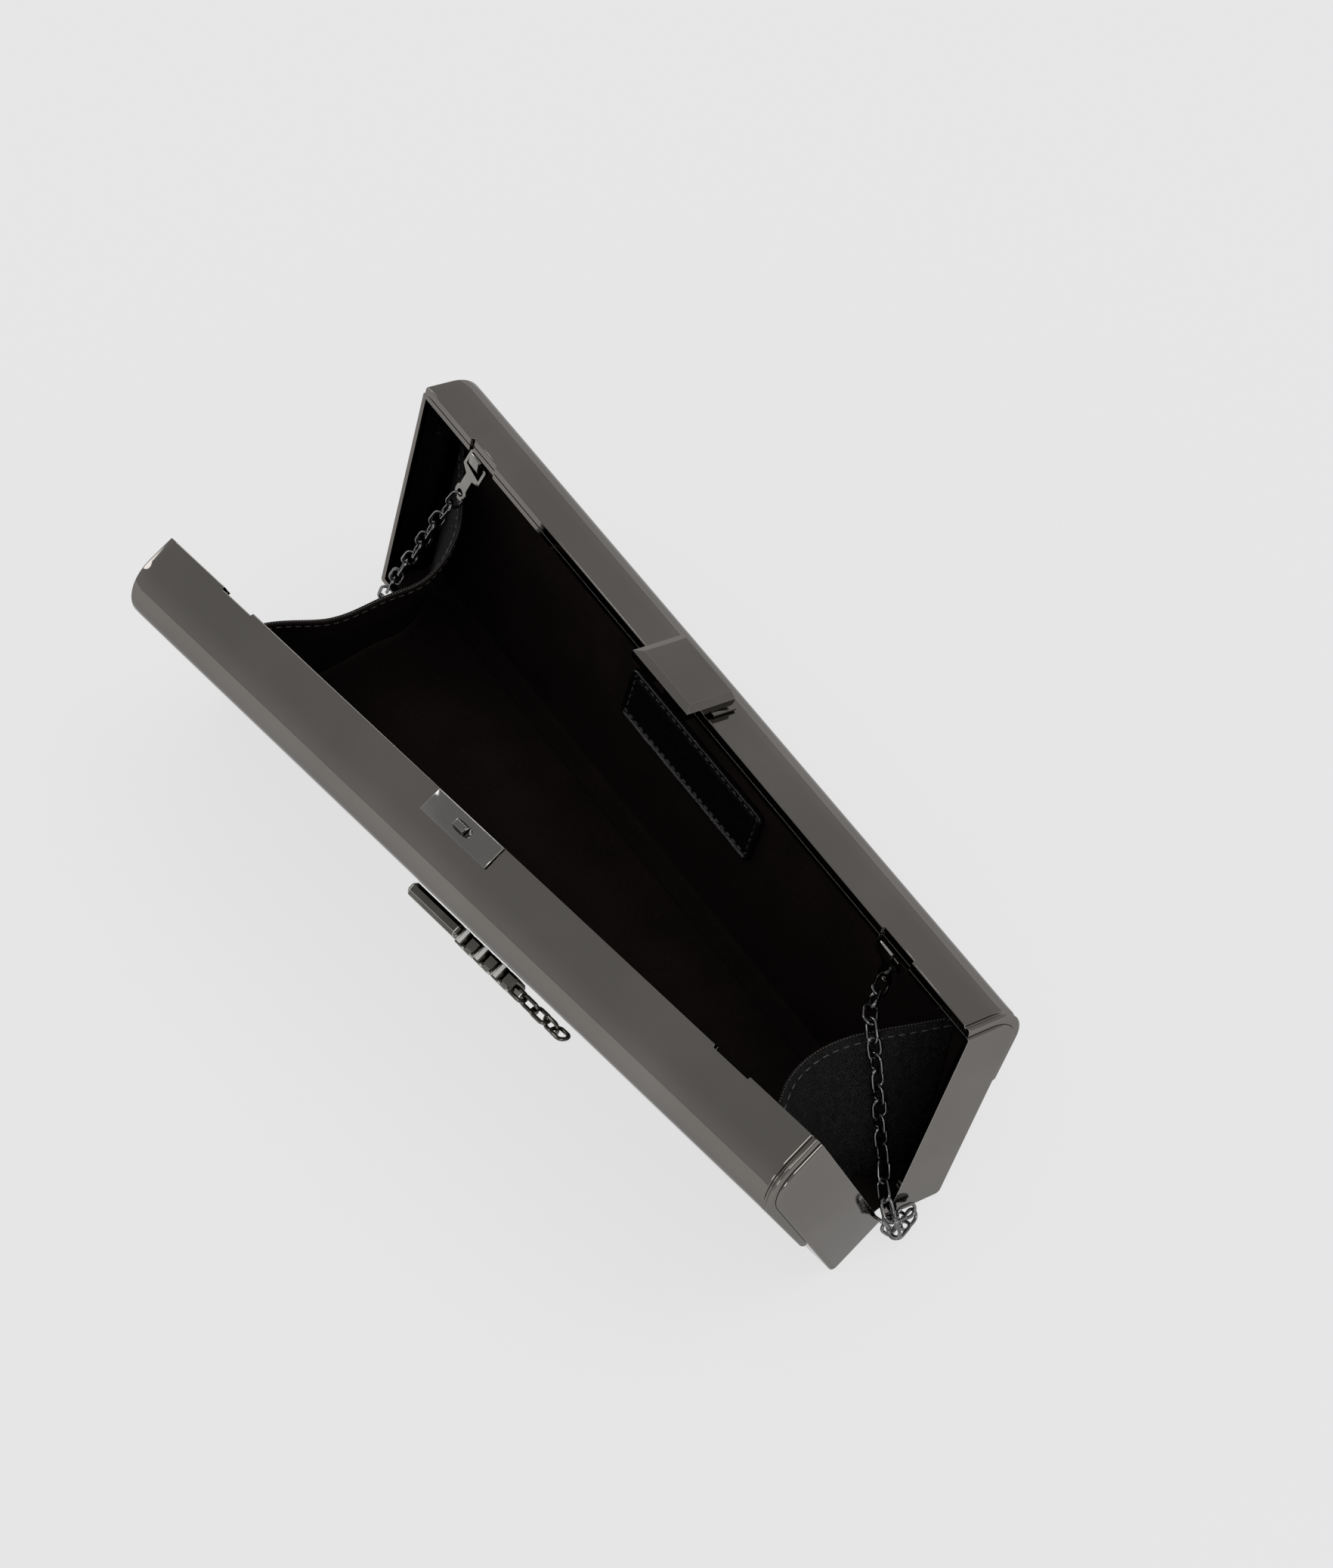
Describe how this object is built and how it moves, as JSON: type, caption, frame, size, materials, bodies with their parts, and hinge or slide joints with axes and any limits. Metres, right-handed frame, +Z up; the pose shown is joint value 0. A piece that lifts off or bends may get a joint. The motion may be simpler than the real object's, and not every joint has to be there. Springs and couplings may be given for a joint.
{
  "type": "evening clutch bag",
  "caption": "Hard-shell evening clutch standing open: metal trays on a leather gusset, rounded covers, flip latch, catch stud and a chain strap.",
  "frame": {"origin": "on the floor, under the middle of the open clutch's bounding box", "axes": "+X along the clutch's length towards the narrow end of the opening, +Y towards the latch's half, +Z up"},
  "size_m": [0.208, 0.0938, 0.0655],
  "materials": {
    "gunmetal": "polished dark gunmetal plating",
    "dark_nickel": "polished black nickel plating",
    "leather": "soft grained",
    "lining": "black suede-like lining"
  },
  "bodies": {
    "back_half": {"back_tray": "gunmetal", "back_cover": "gunmetal", "back_lining": "lining", "label_patch": "leather", "latch_base": "gunmetal", "latch_pin": "gunmetal", "latch_rivet_left": "gunmetal", "latch_rivet_right": "gunmetal", "latch_spring": "dark_nickel", "strap_lug_left": "gunmetal", "strap_lug_right": "gunmetal", "gusset_left": "leather", "gusset_bottom": "leather", "gusset_right": "leather", "strap_chain_left": "dark_nickel", "strap_chain_right": "dark_nickel", "strap_chain_hank": "dark_nickel"},
    "front_half": {"front_tray": "gunmetal", "front_cover": "gunmetal", "front_lining": "lining", "catch_plate": "gunmetal", "catch_stud": "gunmetal", "ornament_bar": "gunmetal", "ornament_block_1": "gunmetal", "ornament_block_2": "gunmetal", "ornament_block_3": "gunmetal", "ornament_swag": "dark_nickel"},
    "latch_tab": {"latch_tab": "gunmetal"},
    "strap_clasp_left": {"strap_clasp_left": "gunmetal"},
    "strap_clasp_right": {"strap_clasp_right": "gunmetal"}
  },
  "joints": [
    {"name": "opening", "type": "hinge", "parent": "back_half", "child": "front_half", "pos_m": [0.096, 0, 0.0019], "axis": [0.9732, 0, 0.2301], "range_deg": [-36.24, 0], "deforming": ["gusset_left", "gusset_bottom", "gusset_right", "strap_chain_left", "strap_chain_right"]},
    {"name": "latch", "type": "hinge", "parent": "back_half", "child": "latch_tab", "pos_m": [-0.00186, 0.03213, 0.06116], "axis": [-0.9972, 0.0751, 0], "range_deg": [0, 60], "stiffness_Nm_per_rad": 0.01, "springref_deg": -5.73},
    {"name": "clasp_left_swing", "type": "hinge", "parent": "back_half", "child": "strap_clasp_left", "pos_m": [-0.08082, 0.03228, 0.05518], "axis": [-0.9972, 0.0751, 0], "range_deg": [-8, 80]},
    {"name": "clasp_right_swing", "type": "hinge", "parent": "back_half", "child": "strap_clasp_right", "pos_m": [0.07144, 0.02081, 0.05518], "axis": [-0.9972, 0.0751, 0], "range_deg": [-4, 95]}
  ]
}
